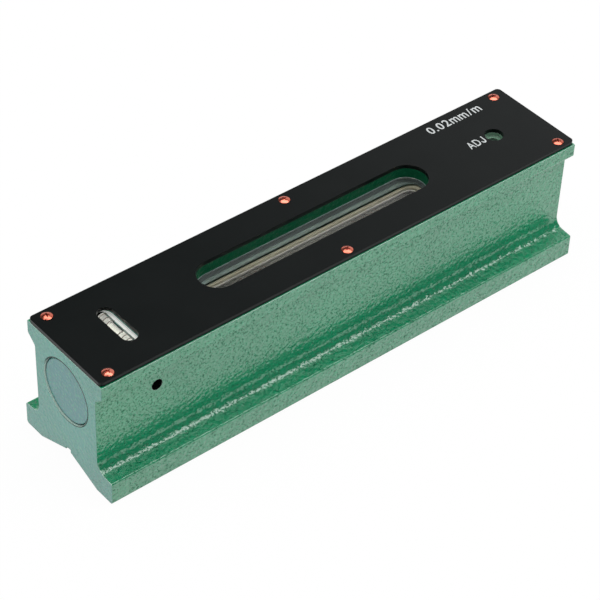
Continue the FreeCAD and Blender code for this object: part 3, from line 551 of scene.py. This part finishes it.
def metalMaterial(name):
    colors, roughs, metallic = metals[name]
    material, tree, shader = newMaterial(name, Metallic=metallic)
    grain = layGrain(tree, shader, colors, roughs, metalGrain["scale"], metalGrain["stretch"])
    rounded = bevelNormal(tree, metalGrain["rounding"])
    normal = bumpNode(tree, grain["Height"], metalGrain["bump"], metalGrain["strength"], rounded)
    feed(tree, shader.inputs["Normal"], normal)
    return material


def tubeMaterial():
    # nickel outside, white enamel in the bore behind the vial
    colors, roughs, metallic = metals["nickel plate"]
    material, tree, shader = newMaterial("nickel and enamel tube")
    grain = layGrain(tree, shader, colors, roughs, metalGrain["scale"], tube["stretch"])
    place = addNode(tree, "ShaderNodeTexCoord").outputs["Object"]
    enamel = mathNode(tree, "LESS_THAN", fromBore(tree, place)[1], tube["enamelReach"])
    feed(tree, shader.inputs["Base Color"], mixColor(tree, enamel, grain["Color"], tube["enamel"]))
    feed(tree, shader.inputs["Metallic"], mathNode(tree, "MULTIPLY", invert(tree, enamel), metallic))
    return material


# glass and spirit
def clearMaterial(name, color, index):
    # lamps shine straight through, so that what lies behind isn't in the dark
    material, tree, shader = newMaterial(name, Base_Color=color, IOR=index, Roughness=0.0,
                                         Transmission_Weight=1.0)
    rays = addNode(tree, "ShaderNodeLightPath").outputs
    through = addNode(tree, "ShaderNodeBsdfTransparent")
    through.inputs["Color"].default_value = color
    blend = mixShader(tree, rays["Is Shadow Ray"], shader.outputs[0], through.outputs[0])
    feed(tree, tree.nodes["Material Output"].inputs["Surface"], blend)
    return material


# plain materials: name, two colours, two roughnesses, depth of the grain and glow, which is painted light
plainGrain = {"scale": 1200.0, "strength": 0.7}
plain = {
    "plaster": ("setting plaster", (rgb(248, 245, 236), rgb(240, 234, 220)), (0.7, 0.9), 0.08 * mm),
    # the vial seat glows: painted light that brightens it in its pocket
    "glowSeat": ("glowing white vial seat", (rgb(250, 248, 242), rgb(244, 240, 230)), (0.5, 0.7), 0.04 * mm, 0.3),
    "bedding": ("pane bedding", (rgb(104, 114, 112), rgb(94, 104, 102)), (0.6, 0.8), 0.03 * mm),
    "print": ("printed white", (rgb(186, 190, 190), rgb(176, 180, 180)), (0.45, 0.6), 0.01 * mm),
    "marks": ("etched marks", (rgb(74, 44, 30), rgb(62, 38, 26)), (0.5, 0.7), 0.01 * mm),
}


def plainMaterial(name, colors, roughs, bump, glow=0.0):
    material, tree, shader = newMaterial(name, Emission_Strength=glow)
    grain = layGrain(tree, shader, colors, roughs, plainGrain["scale"])
    feed(tree, shader.inputs["Normal"], bumpNode(tree, grain["Height"], bump, plainGrain["strength"]))
    return material


materials = {
    "casting": castingMaterial(),
    "plug": plugMaterial(),
    "cover": coverMaterial(),
    "copper": metalMaterial("copper screws"),
    "brass": metalMaterial("turned brass"),
    "tube": tubeMaterial(),
    "steel": metalMaterial("ground steel"),
    "dark": metalMaterial("black steel"),
    "glass": clearMaterial("clear glass", (0.99, 0.995, 0.99, 1.0), 1.5),
    "spirit": clearMaterial("vial spirit", (0.985, 0.99, 0.955, 1.0), 1.36),
}
for label, values in plain.items():
    materials[label] = plainMaterial(*values)
print("materials", len(materials))

finishes = {
    "base_casting": "casting", "end_plug_left": "plug", "end_plug_right": "plug", "cover_plate": "cover",
    "cover_screws": "copper", "pane_gasket": "bedding", "window_pane": "glass", "cross_vial": "glass",
    "cross_vial_spirit": "spirit", "cross_vial_bed": "glowSeat", "vial_tube": "tube", "pivot_plug": "brass",
    "adjusting_block": "brass", "tube_pins": "steel", "main_vial": "glass", "main_vial_spirit": "spirit",
    "vial_stopper_left": "glass", "vial_stopper_right": "glass", "vial_plaster_left": "plaster",
    "vial_plaster_right": "plaster", "pivot_screw": "dark", "adjusting_screw": "dark", "thrust_pad": "steel",
    "return_spring": "steel", "spring_seat": "steel",
}
for nodeName, finish in finishes.items():
    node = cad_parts[nodeName]
    node.data.materials.clear()
    node.data.materials.append(materials[finish])
print("dressed", len(finishes), "nodes")


def addPiece(name, points, faces, material):
    mesh = bpy.data.meshes.new(name)
    mesh.from_pydata(points, [], faces)
    mesh.materials.append(material)
    piece = bpy.data.objects.new(name, mesh)
    scene.collection.objects.link(piece)
    return piece


# lettering on the cover, read from the near side
lettering = {
    "rise": 0.012 * mm,
    "thicker": 0.012,       # this and the gap in units of the font's size
    "gap": 0.12,
    "small": {"m": 0.76, ".": 0.2},     # height against a capital's
    "hook": {"outer": 0.26, "inner": 0.13, "tall": 0.72, "steps": 10},
    "labels": [
        # name, words, from, to, base line, height of a capital
        ("sensitivity_label", "0.02mm/m", 62.9 * mm, 86.8 * mm, 13.0 * mm, 3.75 * mm),
        ("adjust_label", "ADJ", 68.2 * mm, 75.7 * mm, -1.5 * mm, 3.6 * mm),
    ],
}


def hookShape():
    # a J that stands on the base line: a post with a half ring at its foot
    hook = lettering["hook"]
    outer = hook["outer"]
    points = [(2 * outer, hook["tall"]), (outer + hook["inner"], hook["tall"])]
    for step in range(hook["steps"] + 1):
        angle = -math.pi * step / hook["steps"]
        for radius in (outer, hook["inner"]):
            points.append((outer + radius * math.cos(angle), outer + radius * math.sin(angle)))
    faces = [(corner, corner + 1, corner + 3, corner + 2) for corner in range(0, len(points) - 3, 2)]
    return [Vector(point) for point in points], faces, 2 * outer, hook["tall"]


def letterShape(letter):
    # one letter as flat faces, with its left and bottom at zero
    if letter == "J":
        return hookShape()
    curve = bpy.data.curves.new("letter_curve", "FONT")
    curve.body = letter
    curve.offset = lettering["thicker"]
    text = bpy.data.objects.new("letter_text", curve)
    scene.collection.objects.link(text)
    bpy.context.view_layer.update()
    mesh = bpy.data.meshes.new_from_object(text.evaluated_get(bpy.context.evaluated_depsgraph_get()))
    bpy.data.objects.remove(text)
    low = Vector((min(vertex.co.x for vertex in mesh.vertices), min(vertex.co.y for vertex in mesh.vertices)))
    points = [vertex.co.xy - low for vertex in mesh.vertices]
    faces = [tuple(face.vertices) for face in mesh.polygons]
    bpy.data.meshes.remove(mesh)
    return points, faces, max(point.x for point in points), max(point.y for point in points)


def printLabel(name, words, startX, endX, baseY, capital):
    # letters stand side by side on the base line and are squeezed into the printed width
    shapes = [letterShape(letter) for letter in words]
    gap = lettering["gap"]
    squeeze = (endX - startX) / (sum(shape[2] for shape in shapes) + gap * (len(shapes) - 1))
    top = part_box("cover_plate")[1].z + lettering["rise"]
    points = []
    faces = []
    penX = startX
    for letter, (outline, corners, wide, tall) in zip(words, shapes):
        scaleY = capital * lettering["small"].get(letter, 1.0) / tall
        first = len(points)
        points += [(penX + point.x * squeeze, baseY + point.y * scaleY, top) for point in outline]
        faces += [tuple(first + corner for corner in face) for face in corners]
        penX += (wide + gap) * squeeze
    label = addPiece(name, points, faces, materials["print"])
    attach(label, "bar")


for label in lettering["labels"]:
    printLabel(*label)
print("lettering done")


# graduations: thin bands round the upper part of each vial
bandSteps = 16
mainScale = {
    "radius": 7.02 * mm,
    "height": 31.0 * mm,
    "first": 19.0 * mm,
    "pitch": 2.0 * mm,
    "count": 6,
    "width": 0.25 * mm,
    "halfArc": 34.0,
}
crossScale = {
    "radius": 2.37 * mm,
    "first": 3.0 * mm,
    "pitch": 2.0 * mm,
    "count": 3,
    "width": 0.28 * mm,
    "halfArc": 58.0,
}


def bandMesh(name, scale, centreZ, place):
    # one strip per line of the scale, on both sides of the middle
    # place turns a distance along the vial and one across it into X and Y
    near = [scale["first"] + scale["pitch"] * index for index in range(scale["count"])]
    points = []
    faces = []
    for station in [-distance for distance in near] + near:
        start = len(points)
        for step in range(bandSteps + 1):
            angle = math.radians(-scale["halfArc"] + 2 * scale["halfArc"] * step / bandSteps)
            aside = scale["radius"] * math.sin(angle)
            up = centreZ + scale["radius"] * math.cos(angle)
            for edge in (-scale["width"] / 2, scale["width"] / 2):
                points.append((*place(station + edge, aside), up))
        for corner in range(start, start + 2 * bandSteps, 2):
            faces.append((corner, corner + 1, corner + 3, corner + 2))
    return addPiece(name, points, faces, materials["marks"])


def addGraduations():
    marks = bandMesh("main_vial_marks", mainScale, mainScale["height"], lambda along, aside: (along, aside))
    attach(marks, "holder")
    low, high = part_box("cross_vial")
    middle = (low + high) / 2
    marks = bandMesh("cross_vial_marks", crossScale, middle.z,
                     lambda along, aside: (middle.x + aside, middle.y + along))
    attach(marks, "bar")


addGraduations()
print("graduations done")


# camera, at the angle of the photograph
view = {
    "focal": 2252.345,       # pixels in a frame of 600
    "frame": 600,
    "sensor": 36.0,
    "azimuth": -41.051,
    "elevation": 41.275,
    "roll": 2.378,
    "distance": 753.184 * mm,
    "aim": (0.0, 0.0, 22.0 * mm),
    "asideX": -4.207 * mm,
    "asideY": -4.866 * mm,
    "nearest": 10.0 * mm,
}


def addCamera():
    azimuth = math.radians(view["azimuth"])
    elevation = math.radians(view["elevation"])
    roll = math.radians(view["roll"])
    back = Vector((math.sin(azimuth) * math.cos(elevation), -math.cos(azimuth) * math.cos(elevation),
                   math.sin(elevation)))
    level = Vector((0, 0, 1)).cross(back).normalized()
    upright = back.cross(level)
    right = math.cos(roll) * level + math.sin(roll) * upright
    up = -math.sin(roll) * level + math.cos(roll) * upright
    place = Vector(view["aim"]) + back * view["distance"] + right * view["asideX"] + up * view["asideY"]
    data = bpy.data.cameras.new("photo_camera")
    data.sensor_width = view["sensor"]
    data.lens = view["sensor"] * view["focal"] / view["frame"]
    data.clip_start = view["nearest"]
    camera = bpy.data.objects.new("photo_camera", data)
    scene.collection.objects.link(camera)
    turn = Matrix((right, up, back)).transposed()
    camera.matrix_world = Matrix.Translation(place) @ turn.to_4x4()
    scene.camera = camera


addCamera()


# studio: pale floor, one long softbox, and a room that only glossy things see
studio = {
    "floorSize": 6.0,
    "floorDrop": -0.05 * mm,
    "floorTone": 0.8,
    "floorRough": 0.9,
    "floorShown": 0.97,
    "worldLight": 0.71,
    # brightness of the room's parts and where they blend
    "front": 0.012,
    "behindLow": 0.9,
    "behindHigh": 0.07,
    "heightStops": [(0.22, 0.0), (0.42, 1.0)],
    "behindStops": [(0.0, 0.0), (0.2, 1.0)],
    "wall": 0.85,
    "wallAt": (0.85, 0.35, 0.39),
    "wallStops": [(0.86, 0.0), (0.95, 1.0)],
    "lampAim": (0.0, 0.0, 25.0 * mm),
    "lamps": [
        # name, direction, long side, distance, length, width, watts
        ("overhead_softbox", (0.17, 0.04, 0.985), (0.754, -0.657, 0.0), 0.9, 1.3, 0.5, 7.0),
    ],
}


def directRays(tree):
    # 1 for the camera, reflections and what is seen through glass
    rays = addNode(tree, "ShaderNodeLightPath").outputs
    seen = mathNode(tree, "MAXIMUM", rays["Is Camera Ray"], rays["Is Glossy Ray"])
    return mathNode(tree, "MAXIMUM", seen, rays["Is Transmission Ray"]), rays["Is Glossy Ray"]


def addFloor():
    half = studio["floorSize"] / 2
    material, tree, shader = newMaterial("studio floor", Base_Color=grey(studio["floorTone"]),
                                         Roughness=studio["floorRough"], Specular_IOR_Level=0.0)
    corners = [(-half, -half, 0), (half, -half, 0), (half, half, 0), (-half, half, 0)]
    floor = addPiece("studio_floor", corners, [(0, 1, 2, 3)], material)
    floor.location.z = studio["floorDrop"]
    share = mathNode(tree, "MULTIPLY", directRays(tree)[0], studio["floorShown"])
    glow = addNode(tree, "ShaderNodeEmission")
    blend = mixShader(tree, share, shader.outputs[0], glow.outputs[0])
    feed(tree, tree.nodes["Material Output"].inputs["Surface"], blend)


def addWorld():
    # reflections see it dark in front, pale low down behind, dim above, with a pale wall to the right
    world = bpy.data.worlds.new("studio room")
    world.use_nodes = True
    scene.world = world
    tree = world.node_tree
    light = tree.nodes["Background"]
    light.inputs["Color"].default_value = grey(1.0)
    light.inputs["Strength"].default_value = studio["worldLight"]
    direction = addNode(tree, "ShaderNodeTexCoord").outputs["Generated"]
    axes = axesOf(tree, direction)
    high = rampNode(tree, axes["Z"], studio["heightStops"])
    behind = mixColor(tree, high, grey(studio["behindLow"]), grey(studio["behindHigh"]))
    room = mixColor(tree, rampNode(tree, axes["Y"], studio["behindStops"]), grey(studio["front"]), behind)
    facing = vectorNode(tree, "DOT_PRODUCT", direction, Vector(studio["wallAt"]).normalized())
    room = mixColor(tree, rampNode(tree, facing, studio["wallStops"]), room, grey(studio["wall"]))
    direct, glossy = directRays(tree)
    shown = addNode(tree, "ShaderNodeBackground")
    feed(tree, shown.inputs["Color"], mixColor(tree, glossy, grey(1.0), room))
    blend = mixShader(tree, direct, light.outputs[0], shown.outputs[0])
    feed(tree, tree.nodes["World Output"].inputs["Surface"], blend)


def addLamps():
    for name, direction, side, distance, length, width, watts in studio["lamps"]:
        data = bpy.data.lights.new(name, "AREA")
        data.shape = "RECTANGLE"
        data.size = length
        data.size_y = width
        data.energy = watts
        lamp = bpy.data.objects.new(name, data)
        scene.collection.objects.link(lamp)
        out = Vector(direction).normalized()
        across = out.cross(Vector(side)).normalized()
        turn = Matrix((across.cross(out), across, out)).transposed()
        lamp.matrix_world = Matrix.Translation(Vector(studio["lampAim"]) + out * distance) @ turn.to_4x4()


addFloor()
addWorld()
addLamps()
print("studio done")
